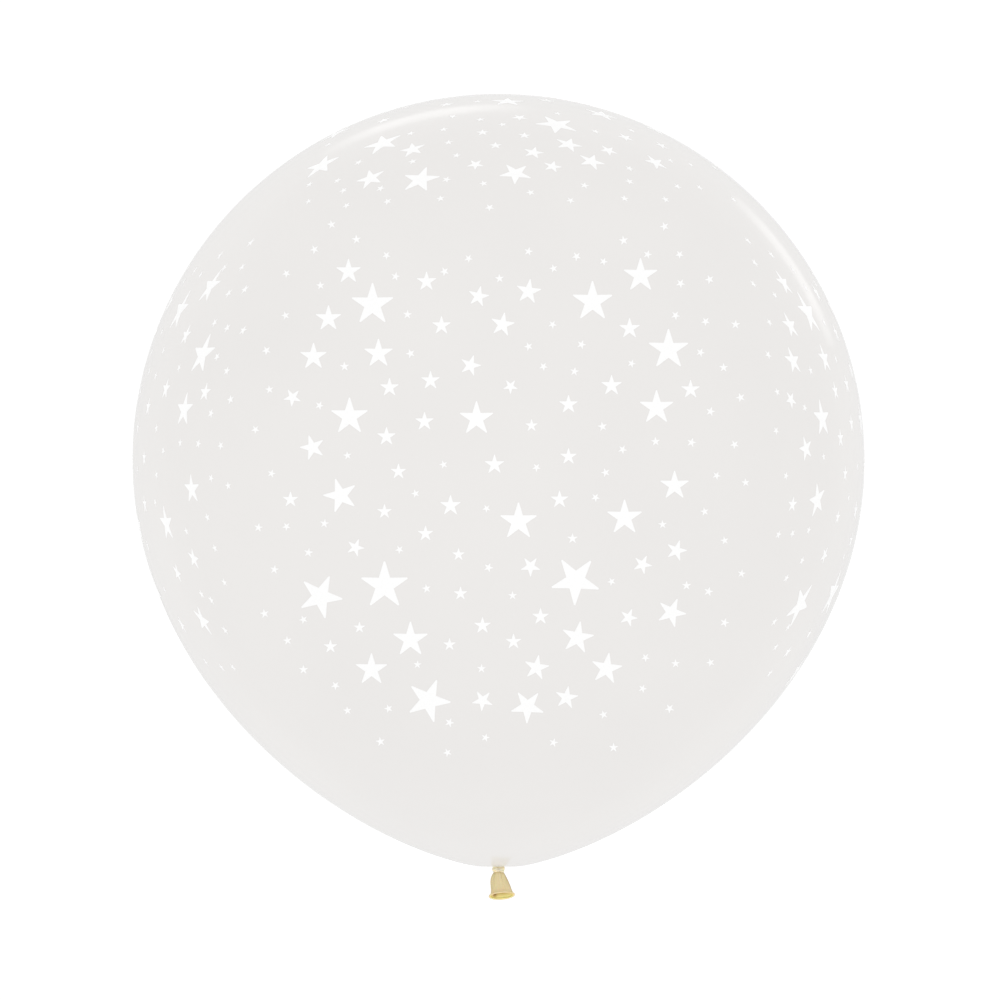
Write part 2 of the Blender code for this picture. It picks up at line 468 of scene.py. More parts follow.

# %% [markdown]
# ## The stars
# One screen prints the same scatter of stars on five sides of the balloon: front, right, back, left and
# crown. The places of the front print were read from a picture of the balloon, in pixels across and
# down, and corrected by comparing renders with that picture. The big stars also have a width from tip to
# tip and a turn anticlockwise, in degrees.

# %% The big stars of one print
BIG_STARS = [
    (348, 271, 24, 0), (372, 304, 41, 0), (328, 318, 25, 0), (313, 356, 26, 0), (378, 353, 28, 0),
    (426, 281, 19, 0), (478, 296, 20, -12), (441, 325, 18, 0), (502, 324, 23, -10), (470, 365, 20, -17),
    (430, 380, 18, 0), (389, 387, 18, 0), (292, 397, 17, 30), (349, 416, 36, 0), (312, 447, 24, 17),
    (476, 418, 33, 0), (424, 421, 18, 0), (386, 436, 18, 0), (494, 464, 19, 0), (398, 471, 15, 0),
    (528, 291, 24, -8), (592, 301, 39, 0), (640, 275, 33, 0), (629, 328, 20, 0), (668, 349, 39, 0),
    (510, 386, 14, 36), (611, 385, 20, 0), (690, 389, 18, 0), (656, 407, 33, 0), (568, 404, 18, 0),
    (531, 425, 12, 0), (568, 456, 16, 0), (340, 495, 33, 17), (290, 499, 15, 0), (384, 511, 14, 0),
    (450, 505, 20, 0), (425, 533, 15, 0), (355, 547, 17, -22), (458, 554, 12, 0), (384, 585, 46, 0),
    (320, 596, 42, -24), (460, 593, 13, 0), (482, 625, 16, 0), (359, 627, 11, 0), (410, 639, 34, 0),
    (330, 646, 13, 0), (449, 644, 12, 0), (371, 669, 31, 0), (428, 700, 42, -22), (482, 700, 20, 31),
    (518, 521, 36, 0), (559, 499, 17, 0), (624, 517, 34, 0), (674, 485, 28, 0), (530, 566, 19, 36),
    (575, 580, 47, 34), (642, 564, 18, -25), (676, 550, 20, -17), (671, 612, 28, -23),
    (628, 617, 17, -22), (540, 616, 16, 0), (577, 637, 31, -10), (513, 641, 15, 0),
    (536, 667, 24, -10), (606, 668, 30, -9), (566, 697, 22, -9), (527, 706, 32, 34), (572, 538, 10, 0),
]
print("big stars:", len(BIG_STARS))

# %% [markdown]
# The small stars are like dust between the big ones. At their size nobody sees how each one is turned, so
# only their places are read, and a seeded draw gives each its width and its turn.

# %% The small stars of one print
SMALL_STARS = [
    (331, 224), (356, 239), (314, 249), (386, 255), (286, 273), (320, 285), (395, 276), (285, 315),
    (407, 314), (266, 350), (344, 366), (410, 353), (269, 389), (528, 251), (468, 258), (444, 271),
    (499, 278), (553, 268), (576, 256), (552, 324), (528, 346), (581, 344), (543, 366), (574, 371),
    (664, 226), (623, 240), (647, 254), (679, 254), (603, 261), (680, 283), (709, 279), (675, 315),
    (705, 321), (735, 324), (700, 352), (631, 363), (723, 367), (740, 397), (319, 405), (255, 429),
    (347, 455), (271, 473), (415, 493), (258, 527), (286, 526), (324, 523), (308, 552), (399, 549),
    (274, 569), (602, 426), (443, 464), (536, 467), (605, 472), (486, 508), (595, 497), (488, 567),
    (622, 449), (655, 441), (691, 442), (710, 411), (734, 444), (716, 475), (745, 482), (704, 511),
    (662, 524), (724, 540), (611, 581), (741, 573), (264, 613), (303, 619), (287, 640), (303, 669),
    (335, 685), (347, 710), (388, 708), (380, 741), (417, 664), (426, 588), (512, 595), (481, 668),
    (449, 722), (447, 752), (485, 737), (553, 742), (603, 714), (686, 585), (708, 591), (724, 622),
    (645, 657), (675, 663), (710, 662), (642, 688), (669, 708), (613, 747),
]
SMALL_WIDTHS = (7.7, 9.0)


def dress_small(places, seed):
    """Give each small star a width and a turn."""
    draw = random.Random(seed)
    return [(x, y, draw.uniform(*SMALL_WIDTHS), draw.uniform(0.0, 72.0)) for x, y in places]


print_layout = BIG_STARS + dress_small(SMALL_STARS, 7)
print("stars in one print:", len(print_layout))

# %% [markdown]
# On the crown the rubber bends both ways and shrinks the print unevenly. Its stars that face the viewer
# were therefore read from the picture too, where they are seen. The rest of the crown print lies on the
# far side.

# %% The stars seen on the crown
CROWN_STARS = [
    (420, 179, 37, -22), (382, 143, 38, 0), (321, 165, 38, -24), (370, 178, 29, 0), (412, 149, 25, 0),
    (515, 173, 31, 34), (552, 166, 18, -9), (591, 161, 26, -9), (568, 144, 26, -10), (533, 152, 20, -10),
    (556, 124, 41, 34), (655, 162, 24, -23), (608, 150, 18, -22), (475, 164, 16, 31), (601, 114, 32, 0),
    (507, 101, 32, 0), (546, 100, 15, 0), (519, 117, 15, 36), (524, 135, 12, 0), (446, 104, 14, 0),
    (625, 137, 16, -25), (661, 145, 14, -17), (482, 132, 12, 0), (495, 145, 12, 0), (383, 120, 14, 0),
]
CROWN_SMALL_STARS = [
    (337, 180), (309, 184), (343, 190), (308, 201), (346, 205), (358, 162), (380, 188), (387, 201),
    (328, 144), (410, 133), (412, 161), (446, 179), (440, 198), (452, 116), (443, 129), (448, 142),
    (456, 155), (477, 101), (480, 119), (483, 183), (489, 207), (502, 124), (530, 192), (570, 200),
    (557, 113), (595, 131), (584, 185), (631, 130), (629, 168), (629, 181), (624, 198), (665, 199),
    (670, 160), (677, 186), (690, 164), (699, 187), (714, 167), (733, 199),
]
crown_layout = CROWN_STARS + dress_small(CROWN_SMALL_STARS, 3)
print("stars seen on the crown:", len(crown_layout))


# %% [markdown]
# The camera looks straight down with a very long lens. Near things still look a little larger through it,
# so the place on the skin is worked out from the place in the picture by a few rounds of guessing how near
# the skin is. The lens values are set here and used again for the camera.

# %% From the picture to the skin
PICTURE_WIDTH = 1.2295
PICTURE_CENTRE = (0.0018, -0.0492)
PICTURE_PIXELS = 1000
LENS = 800.0
SENSOR = 36.0
CAMERA_DISTANCE = PICTURE_WIDTH * LENS / SENSOR
ROUNDS = 5


def on_skin(star):
    """A star in metres, as (x, y, height over the axis, width, turn), lying where it is seen."""
    column, row, width, turn = star
    height = 0.0
    for _ in range(ROUNDS):
        pixel = PICTURE_WIDTH / PICTURE_PIXELS * (1.0 - height / CAMERA_DISTANCE)
        x = PICTURE_CENTRE[0] + (column + 0.5 - 0.5 * PICTURE_PIXELS) * pixel
        y = PICTURE_CENTRE[1] - (row + 0.5 - 0.5 * PICTURE_PIXELS) * pixel
        height = math.sqrt(max(0.0, float(skin_radius(y)) ** 2 - x * x))
    return x, y, height, width * pixel, turn


front_stars = [on_skin(star) for star in print_layout]
seen_stars = [on_skin(star) for star in crown_layout]
print("first star lies at", [round(value, 4) for value in front_stars[0][:3]])

# %% [markdown]
# Each star is a thin cake of ink, not a picture on the skin. A flat five-point outline is filled with a
# fan of triangles, cut fine enough to bend with the skin, and given a rim that goes down into the film.

# %% One flat star
STAR_WAIST = 0.40
TIP_TO_TIP = 2.0 * math.sin(math.radians(72.0))
TIP_BLUNT = 0.03
INK_THICKNESS = 0.00016
INK_ROOT = 0.00010
INK_CELL = 0.007


def star_outline(width, turn):
    """Corners of a five-point star with slightly blunt tips, in metres."""
    reach = width / TIP_TO_TIP
    corners = []
    for point in range(5):
        tip = math.radians(90.0 + turn + 72.0 * point)
        notch = tip + math.radians(36.0)
        for side in (-1.0, 1.0):
            blunt = tip + side * TIP_BLUNT
            corners.append((reach * math.cos(blunt), reach * math.sin(blunt)))
        corners.append((STAR_WAIST * reach * math.cos(notch), STAR_WAIST * reach * math.sin(notch)))
    return corners


def star_cake(width, turn):
    """A flat star as (x, y, height) points and faces, with its rim."""
    shape = bmesh.new()
    middle = shape.verts.new((0.0, 0.0, INK_THICKNESS))
    corners = [shape.verts.new((x, y, INK_THICKNESS)) for x, y in star_outline(width, turn)]
    for corner, after in zip(corners, corners[1:] + corners[:1]):
        shape.faces.new((middle, corner, after))
    cuts = max(0, math.ceil(0.5 * width / INK_CELL) - 1)
    if cuts:
        bmesh.ops.subdivide_edges(shape, edges=shape.edges, cuts=cuts, use_grid_fill=True)
    rim = [edge for edge in shape.edges if edge.is_boundary]
    skirt = bmesh.ops.extrude_edge_only(shape, edges=rim)["geom"]
    for item in skirt:
        if isinstance(item, bmesh.types.BMVert):
            item.co.z = -INK_ROOT
    bmesh.ops.recalc_face_normals(shape, faces=shape.faces)
    shape.verts.index_update()
    points = np.array([vert.co[:] for vert in shape.verts])
    faces = [[vert.index for vert in face.verts] for face in shape.faces]
    shape.free()
    return points, faces


widest = max(star[3] for star in front_stars)
print("the widest star:", round(widest, 4), "m and", len(star_cake(widest, 0.0)[1]), "faces")

# %% [markdown]
# The rubber slips under the screen when a side is printed. At the widest part, the edge of the print that
# faces the viewer creeps round towards the viewer, and towards the neck and the crown it creeps away. The
# print also slides down a little. A few simple curves say where each star ends up. Their values were
# first fitted to stars read near the edge of the picture and then changed. So they describe this
# one print and are no law of rubber, and the stars there lie a few pixels off.

# %% How a side print slips
# Creep of the edge for each metre beyond these distances from the widest ring.
FOOT_SLIP = 0.49
FOOT_SLIP_FROM = 0.054
TOP_SLIP = 0.20
TOP_SLIP_FROM = 0.100
# Where across the print the creep sets in, and how softly.
SLIP_EDGE = 0.10
SLIP_SOFTNESS = 0.12
# The outermost stars are squeezed back, and at the foot the inner ones creep more.
EDGE_SQUEEZE = 0.335
EDGE_FROM = 0.207
INWARD_SLIP = 1.4
INWARD_REACH = 0.10
# How far the whole print, its top and its foot slide down.
SIDE_DROP = 0.0011
TOP_SLIDE = 0.217
FOOT_SLIDE = 0.0099
FOOT_REACH = 0.30


def side_give(x, y, slip):
    """Where a star of a side print ends up when the rubber gives way."""
    inward = 1.0 + INWARD_SLIP * min(1.0, max(0.0, (EDGE_FROM - x) / INWARD_REACH)) ** 2
    creep = slip - FOOT_SLIP * inward * max(0.0, -y - FOOT_SLIP_FROM)
    creep -= TOP_SLIP * max(0.0, y - TOP_SLIP_FROM)
    moved = x + creep * 0.5 * (1.0 + math.tanh((x + SLIP_EDGE) / SLIP_SOFTNESS))
    moved -= EDGE_SQUEEZE * max(0.0, x - EDGE_FROM)
    foot = FOOT_SLIDE * math.sin(math.pi * min(1.0, max(0.0, -y / FOOT_REACH)))
    return moved, y - SIDE_DROP - TOP_SLIDE * max(0.0, y) ** 2 - foot


print("a star at (0.2, 0) moves to", [round(value, 4) for value in side_give(0.2, 0.0, 0.03)])

# %% [markdown]
# A side print is stamped straight onto the balloon, so each star lands where a line along the print's own
# direction meets the skin. That line is square to the axis. Where the rubber has slipped, the stars come
# out narrower too.

# %% Stamp a side print
CENTRE = np.array((0.0, 0.0, AXIS_HEIGHT))
SLOPE_STEP = 0.0005
SIDE_NARROWING = 0.76


def side_stamp(facing, slip=0.0, front_edge=1.0):
    """A stamp for the print that faces a direction square to the axis. The front one doesn't slip.

    Front_edge is 1.0 where the print's own right edge faces the viewer and -1.0 where its left one does.
    """
    facing = np.array(facing, float)
    right = np.cross((0.0, 1.0, 0.0), facing)

    def stamp(place, star):
        x, y, narrow = place[0], place[1], 1.0
        if slip:
            x, y = side_give(front_edge * x, y, slip)
            x, narrow = front_edge * x, SIDE_NARROWING
        x, y = narrow * star[:, 0] + x, star[:, 1] + y
        radius = skin_radius(y)
        outward = np.sqrt(np.maximum(radius ** 2 - x ** 2, 0.0))
        radial = (x[:, None] * right + outward[:, None] * facing) / radius[:, None]
        slope = (skin_radius(y + SLOPE_STEP) - skin_radius(y - SLOPE_STEP)) / (2.0 * SLOPE_STEP)
        normal = radial - slope[:, None] * np.array((0.0, 1.0, 0.0))
        normal /= np.linalg.norm(normal, axis=1)[:, None]
        points = radial * radius[:, None]
        points[:, 1] = y
        return settle(points + CENTRE) + star[:, 2:] * normal

    return stamp


middle_of_right = side_stamp((1.0, 0.0, 0.0))((0.0, 0.0), np.zeros((1, 3)))[0]
print("middle of the right print:", middle_of_right.round(4))


# %% [markdown]
# A star on the crown is wrapped on the ball round the place where it lies. For a star that is seen, that
# place is known. For the far side, the flat print is wrapped on the ball from its pole, which leans a
# little towards the viewer. That lean was fitted in the same way.

# %% Stamp the crown print
CROWN_PRINT_MIDDLE = (0.002, -0.034)
CROWN_TILT = math.radians(5.6)
CROWN_LEAN = math.radians(1.6)
TINY = 1e-9


def lay_on_ball(direction, star):
    """Wrap a flat star on the ball-shaped end, where a direction from the ball's centre meets it."""
    turn = Vector((0.0, 1.0, 0.0)).rotation_difference(Vector(direction)).to_matrix()
    right, up, facing = (np.array(turn @ Vector(axis)) for axis in ((1, 0, 0), (0, 0, -1), (0, 1, 0)))
    x, y = star[:, 0] / BODY_RADIUS, star[:, 1] / BODY_RADIUS
    bend = np.hypot(x, y) + TINY
    sideways = np.sin(bend) / bend
    normal = ((x * sideways)[:, None] * right + (y * sideways)[:, None] * up
              + np.cos(bend)[:, None] * facing)
    points = normal * np.array((BODY_RADIUS, CROWN_HEIGHT, BODY_RADIUS))
    return settle(points + CENTRE) + star[:, 2:] * normal


def seen_crown_stamp(place, star):
    """Put a star of the crown where it is seen."""
    return lay_on_ball(Vector(place).normalized(), star)


def far_crown_stamp(place, star):
    """Put a star of the flat print on the far side of the crown."""
    x = (place[0] - CROWN_PRINT_MIDDLE[0]) / BODY_RADIUS
    y = (place[1] - CROWN_PRINT_MIDDLE[1]) / BODY_RADIUS
    bend = math.hypot(x, y) + TINY
    sideways = math.sin(bend) / bend
    pole = Matrix.Rotation(CROWN_LEAN, 3, "Z") @ Matrix.Rotation(CROWN_TILT, 3, "X")
    return lay_on_ball(pole @ Vector((x * sideways, math.cos(bend), -y * sideways)), star)


print("middle of the crown print:", far_crown_stamp(CROWN_PRINT_MIDDLE, np.zeros((1, 3)))[0].round(4))

# %% [markdown]
# Each print is a list of stars with the stamp that puts them down. The rows say which stars of the flat
# print are used: a side print ends higher than the front one, and only the upper part of the crown print
# reaches the far side. The rim of each star is kept sharp, so that the cake of ink has an edge.

# %% Print all the stars
INK_EDGE = math.radians(40.0)
SIDE_FOOT_ROW = 682.0
FAR_CROWN_ROW = 496.0
RIGHT_SLIP = 0.030
BACK_SLIP = 0.001
LEFT_SLIP = 0.037
side_stars = [place for star, place in zip(print_layout, front_stars) if star[1] < SIDE_FOOT_ROW]
far_stars = [place for star, place in zip(print_layout, front_stars) if star[1] < FAR_CROWN_ROW]
PRINTS = [
    (front_stars, side_stamp((0.0, 0.0, 1.0))),
    (side_stars, side_stamp((1.0, 0.0, 0.0), RIGHT_SLIP, front_edge=-1.0)),
    (side_stars, side_stamp((0.0, 0.0, -1.0), BACK_SLIP)),
    (side_stars, side_stamp((-1.0, 0.0, 0.0), LEFT_SLIP)),
    (seen_stars, seen_crown_stamp),
    (far_stars, far_crown_stamp),
]


def print_stars(prints):
    """All the stars of all the prints as one mesh."""
    places, faces, count = [], [], 0
    for stars_on_print, stamp in prints:
        for x, y, height, width, turn in stars_on_print:
            star, star_faces = star_cake(width, turn)
            places.append(stamp((x, y, height), star))
            faces.extend([[count + corner for corner in face] for face in star_faces])
            count += len(star)
    mesh = bpy.data.meshes.new("stars")
    mesh.from_pydata(np.concatenate(places).tolist(), [], faces)
    return mesh


star_mesh = print_stars(PRINTS)
stars = make_object("star_print", star_mesh, [white_ink])
star_mesh.set_sharp_from_angle(angle=INK_EDGE)
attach(stars, "root")
print("star print:", len(star_mesh.polygons), "faces")

# %% [markdown]
# ## The knotted neck
# The neck is twisted, tied and left with a short tail. The tail is a flattened tube with a rolled lip,
# and its mouth is turned up a little. It is made of rings of points, one below the other, that are skinned
# with faces. These are the sizes that the rings follow.

# %% Sizes of the tail
TAIL_LENGTH = 0.0280
WAIST_WIDTH = 0.0110
WAIST_THICKNESS = 0.0092
TAIL_WIDTH = 0.0246
TAIL_THICKNESS = 0.0078
MOUTH_WIDTH = 0.0302
MOUTH_THICKNESS = 0.0124
TAIL_LEAN = 0.0039
LEAN_START = 0.15
TAIL_CURL = 0.0030
MOUTH_TILT = math.radians(44.0)
MOUTH_ROLL = math.radians(6.0)
TAIL_TOP = KNOT_DEPTH + KNOT_ROLL_RADIUS
TAIL_SIDES = 144
TAIL_ANGLES = np.linspace(0.0, 2.0 * math.pi, TAIL_SIDES, endpoint=False)
print("tail from y =", round(-TAIL_TOP, 4), "to", round(-TAIL_TOP - TAIL_LENGTH, 4))

# %% [markdown]
# Below the knot the tail swells out quickly, and just before its end it flares. Thin pleats run down it
# from the knot, and two sharper creases run nearly to the lip.

# %% Widths and pleats of the tail
TAIL_SWELL = 3.0
MOUTH_FLARE = 8.0
PLEAT_DEPTH = 0.0007
PLEAT_FADE = 0.7
COARSE_PLEATS = 9.0
FINE_PLEATS = 16.0
# The angle of each crease round the tail, its width and its depth next to a pleat's.
TAIL_CREASES = ((4.05, 0.11, 0.96), (5.15, 0.09, 0.64))


def swell(share, waist, full, mouth):
    """A width of the tail: it swells quickly below the waist and flares at the mouth."""
    below_waist = (full - waist) * (1.0 - (1.0 - share) ** TAIL_SWELL)
    return waist + below_waist + (mouth - full) * share ** MOUTH_FLARE


def pleats(angle, share):
    """How far the wall of the tail stands in or out: pleats that fade out before the lip."""
    fade = (1.0 - share) ** PLEAT_FADE
    wave = 0.55 * np.cos(COARSE_PLEATS * angle + 1.1 * np.sin(angle))
    wave += 0.30 * np.cos(FINE_PLEATS * angle + 2.0)
    pinch = sum(depth * np.exp(-((angle - at) / width) ** 2) for at, width, depth in TAIL_CREASES)
    return PLEAT_DEPTH * (fade * wave - pinch * (1.0 - share ** 3))


widths = [round(swell(share, WAIST_WIDTH, TAIL_WIDTH, MOUTH_WIDTH), 4) for share in (0.0, 0.25, 0.5, 1.0)]
print("tail widths, from the waist to the mouth:", widths)

# %% [markdown]
# A ring is a flattened circle at a share of the tail's length. Towards the mouth the rings lean to one
# side, curl up and tilt, so that the viewer sees a little way into the mouth.

# %% One ring of the tail
def tail_ring(share, grow=0.0, beyond=0.0):
    """Points round the tail at a share of its length, grown sideways and moved out of the mouth."""
    out = grow + pleats(TAIL_ANGLES, min(share, 1.0))
    half_width = 0.5 * swell(share, WAIST_WIDTH, TAIL_WIDTH, MOUTH_WIDTH) + out
    half_thickness = 0.5 * swell(share, WAIST_THICKNESS, TAIL_THICKNESS, MOUTH_THICKNESS) + out
    leaning = max(0.0, (share - LEAN_START) / (1.0 - LEAN_START))
    lean = TAIL_LEAN * leaning * leaning * (3.0 - 2.0 * leaning)
    tilt = Matrix.Rotation(-MOUTH_TILT * share ** 2, 3, "X")
    turn = np.array(tilt @ Matrix.Rotation(MOUTH_ROLL * share ** 2, 3, "Z"))
    flat = np.stack([half_width * np.cos(TAIL_ANGLES), np.full(TAIL_SIDES, -beyond),
                     -half_thickness * np.sin(TAIL_ANGLES)], axis=1)
    middle = np.array((lean, -TAIL_TOP - TAIL_LENGTH * share, AXIS_HEIGHT + TAIL_CURL * share ** 2))
    return middle + flat @ turn.T


print("middle of the mouth:", tail_ring(1.0).mean(axis=0).round(4))

# %% [markdown]
# The rings go down the outside of the tail, round the bead of the lip and up the inside, which follows the
# outside at the thickness of the latex.
#
# Where light passes more latex, at the folded edges, the colour is deeper. Just below the knot, deep in the
# mouth and in one corner of it, painted shade darkens the colour. So each point also gets a number from 0
# to
# 1 for that depth of colour and painted shade, which the materials read.

# %% All the rings of the tail
TAIL_RINGS = 32
TAIL_ROOT_RINGS = 3
TAIL_WALL = 0.0006
POCKET_START = 0.12
POCKET_RINGS = 24
# The bead of the lip: its rings, how many of them show inside, and its start and sweep in half turns.
LIP_BEAD_RADIUS = 0.0011
LIP_RINGS = 14
LIP_INSIDE_RINGS = 5
LIP_START = 0.25
LIP_SWEEP = 1.25
# Depth of colour at the two folded edges, and painted shade below the knot, down in the pocket and in one
# corner of the mouth.
FOLD_SHARPNESS = 10.0
UNDER_KNOT_PAINTED_SHADOW = 0.6
UNDER_KNOT_SHADOW_SHARE = 0.12
POCKET_SHADE_SHARE = 0.30
CORNER_SHADE_DEPTH = 0.8
CORNER_SHADE_ANGLE = 2.30
CORNER_SHADE_WIDTH = 0.24
CORNER_SHADE_SHARE = 0.05


def tail_rings():
    """Rings down the outside of the tail, round the rolled lip and up its inside.

    Gives the rings, the depth of colour and painted shade of each ring's points and the ring where the
    inside begins.
    """
    fold = np.abs(np.cos(TAIL_ANGLES)) ** FOLD_SHARPNESS
    # Painted shade in one inside corner of the mouth.
    corner = CORNER_SHADE_DEPTH * np.exp(-((TAIL_ANGLES - CORNER_SHADE_ANGLE) / CORNER_SHADE_WIDTH) ** 2)
    rings, tints = [], []
    for step in range(-TAIL_ROOT_RINGS, TAIL_RINGS + 1):
        share = step / TAIL_RINGS
        rings.append(tail_ring(share))
        # Deeper colour at the folded edges, plus a painted shadow just below the knot.
        tints.append(fold + UNDER_KNOT_PAINTED_SHADOW * np.clip(1.0 - share / UNDER_KNOT_SHADOW_SHARE, 0.0, 1.0))
    for step in range(1, LIP_RINGS + 1):
        turn = math.pi * (step / LIP_RINGS * LIP_SWEEP - LIP_START)
        rings.append(tail_ring(1.0, LIP_BEAD_RADIUS * math.cos(turn),
                               LIP_BEAD_RADIUS * (1.0 + math.sin(turn))))
        tints.append(np.zeros(TAIL_SIDES))
    inside_from = len(rings) - LIP_INSIDE_RINGS
    for step in range(POCKET_RINGS):
        inward = (1.0 - POCKET_START) * step / (POCKET_RINGS - 1)
        rings.append(tail_ring(1.0 - inward, -TAIL_WALL))
        # Painted shade deepens down the pocket and in one corner of the mouth.
        tints.append(inward / POCKET_SHADE_SHARE + corner * min(1.0, inward / CORNER_SHADE_SHARE))
    return rings, tints, inside_from


rings_of_tail, tints_of_tail, inside_from = tail_rings()
print("tail:", len(rings_of_tail), "rings")

# %% [markdown]
# Faces between the rings turn them into a skin. The two ends are closed, one inside the knot and one deep
# in the mouth.

# %% Skin the tail
def loft(rings, cap_ends=()):
    """Skin a list of rings of points with quads, and close the ends that are named."""
    sides = len(rings[0])
    faces = []
    for ring in range(len(rings) - 1):
        for side in range(sides):
            after = (side + 1) % sides
            above, below = ring * sides, (ring + 1) * sides
            faces.append((above + side, below + side, below + after, above + after))
    if "first" in cap_ends:
        faces.append(tuple(range(sides)))
    if "last" in cap_ends:
        faces.append(tuple(reversed(range((len(rings) - 1) * sides, len(rings) * sides))))
    return np.concatenate(rings), faces


tail_points, tail_faces = loft(rings_of_tail, ("first", "last"))
tail_tints = np.concatenate(tints_of_tail)
print("tail:", len(tail_faces), "faces")

# %% [markdown]
# The knot is a single overhand knot. From outside it shows as a fat roll round the neck, with the loose
# strand pulled over it aslant. Both are tubes along a closed path. Latex that is twisted and pulled tight
# wrinkles along its length, so the tubes get sharp creases that wind slowly round them, darkened with
# painted shade.

# %% A creased tube round the neck
KNOT_STEPS = 160
ROLL_SIDES = 56
CREASE_DEPTH = 0.0004
UNEVENNESS = 0.05


def wrapped_roll(ring_radius, roll_radius, tilt, turn, creases, winding):
    """A creased tube that goes once round the neck: its points, faces and the painted shade of its creases.

    The ring that it follows is turned about the neck first and then tilted in the picture.
    """
    lay = np.array(Matrix.Rotation(tilt, 3, "Z") @ Matrix.Rotation(turn, 3, "Y"))
    middle = np.array((0.0, -KNOT_DEPTH, AXIS_HEIGHT))
    around = np.linspace(0.0, 2.0 * math.pi, ROLL_SIDES, endpoint=False)
    rings, tints = [], []
    for step in range(KNOT_STEPS):
        way = 2.0 * math.pi * step / KNOT_STEPS
        groove = np.abs(np.sin(0.5 * (creases * around + winding * way)))
        full = roll_radius * (1.0 + UNEVENNESS * math.sin(2.0 * way + 0.7))
        thin = full - CREASE_DEPTH * (1.0 - groove) ** 2
        reach = ring_radius + thin * np.cos(around)
        flat = np.stack([reach * math.cos(way), thin * np.sin(around), reach * math.sin(way)], axis=1)
        rings.append(middle + flat @ lay.T)
        # Painted shade: the colour darkens down into each crease.
        tints.append((1.0 - groove) ** 2)
    rings.append(rings[0])
    points, faces = loft(rings)
    unique = len(points) - ROLL_SIDES
    faces = [tuple(corner % unique for corner in face) for face in faces]
    return points[:unique], faces, np.concatenate(tints)


# %% The roll of the knot and the strand over it
KNOT_BITE = 0.0010
KNOT_TILT = math.radians(9.0)
STRAND_RADIUS = 0.0021
STRAND_OUT = 0.0004
STRAND_TILT = math.radians(-27.0)
STRAND_TURN = math.radians(25.0)

roll = wrapped_roll(NECK_RADIUS - KNOT_BITE, KNOT_ROLL_RADIUS, KNOT_TILT, 0.0,
                    creases=6, winding=4)
strand = wrapped_roll(NECK_RADIUS + STRAND_OUT, STRAND_RADIUS, STRAND_TILT, STRAND_TURN,
                      creases=4, winding=3)
print("knot:", len(roll[1]) + len(strand[1]), "faces")

# %% [markdown]
# On the real balloon the tail, the knot and the strand are the same latex, so they become one piece. The
# faces keep their order through this: the outside of the tail, then its inside, then the knot. That order
# says which face gets which material.

# %% Join the tail and the knot in one piece
def closed_mesh(name, points, faces):
    """A mesh with its faces turned outwards. It keeps the order of the faces."""
    shape = bmesh.new()
    corners = [shape.verts.new(point) for point in points]
    for face in faces:
        shape.faces.new([corners[corner] for corner in face])
    bmesh.ops.recalc_face_normals(shape, faces=shape.faces)
    mesh = bpy.data.meshes.new(name)
    shape.to_mesh(mesh)
    shape.free()
    return mesh


neck_points, neck_faces, neck_tints = [], [], []
for points, faces, tints in ((tail_points, tail_faces, tail_tints), roll, strand):
    first = len(neck_points)
    neck_points.extend(points)
    neck_faces.extend([[first + corner for corner in face] for face in faces])
    neck_tints.extend(tints)
neck_mesh = closed_mesh("neck", neck_points, neck_faces)
fold_and_shade_attribute = neck_mesh.attributes.new(FOLD_AND_SHADE_NAME, "FLOAT", "POINT")
fold_and_shade_attribute.data.foreach_set("value", np.clip(neck_tints, 0.0, 1.0))
neck = make_object("knotted_neck", neck_mesh, [amber_latex, mouth_glow_and_shade, knot_latex])
OF_MOUTH, OF_KNOT = 1, 2
for face in neck_mesh.polygons[inside_from * TAIL_SIDES:]:
    face.material_index = OF_MOUTH if face.index < len(tail_faces) else OF_KNOT
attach(neck, "root")
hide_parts("balloon")
print("knotted neck:", len(neck_mesh.polygons), "faces")

# %% [markdown]
# ## The studio
# The balloon is seen on pure white, evenly lit all round, like a product on a light table. The floor glows
# a little, so that no shadow greys it. It lies a hair below the ink that the balloon rests on.
#
# A shiny ball mirrors the floor beside it all round its edge, and a white floor would melt that edge into
# the white behind it. So the floor is left out of reflections.

# %% The floor
WHITE = (1.0, 1.0, 1.0, 1.0)
FLOOR_SIZE = 300.0
FLOOR_DROP = 0.0002
FLOOR_ALBEDO = (0.35, 0.35, 0.35)
FLOOR_ROUGHNESS = 0.9
FLOOR_GLOW = 0.70


def light_table():
    """A white floor that glows a little."""
    material, _, shader = new_material("light_table")
    shader.inputs["Base Color"].default_value = (*FLOOR_ALBEDO, 1.0)
    shader.inputs["Roughness"].default_value = FLOOR_ROUGHNESS
    shader.inputs["Specular IOR Level"].default_value = 0.0
    shader.inputs["Emission Color"].default_value = WHITE
    shader.inputs["Emission Strength"].default_value = FLOOR_GLOW
    return material


table_mesh = bpy.data.meshes.new("floor")
half = 0.5 * FLOOR_SIZE
table_mesh.from_pydata([(-half, -half, 0.0), (half, -half, 0.0), (half, half, 0.0), (-half, half, 0.0)],
                       [], [(0, 1, 2, 3)])
floor = make_object("floor", table_mesh, [light_table()])
floor.location.z = -FLOOR_DROP
floor.visible_glossy = False
print("floor:", FLOOR_SIZE, "m wide")

# %% [markdown]
# A photographer sets grey cards beside a shiny thing, for its edge to mirror. Here the surroundings take
# the place of the cards. They are white, with a strength for each height from straight down, -1, over the
# horizon, 0, to straight up, 1.

# %% The white surroundings
SURROUNDINGS = [(-1.0, 0.84), (-0.75, 1.04), (0.0, 0.98), (1.0, 1.14)]
BRIGHTEST = 2.0

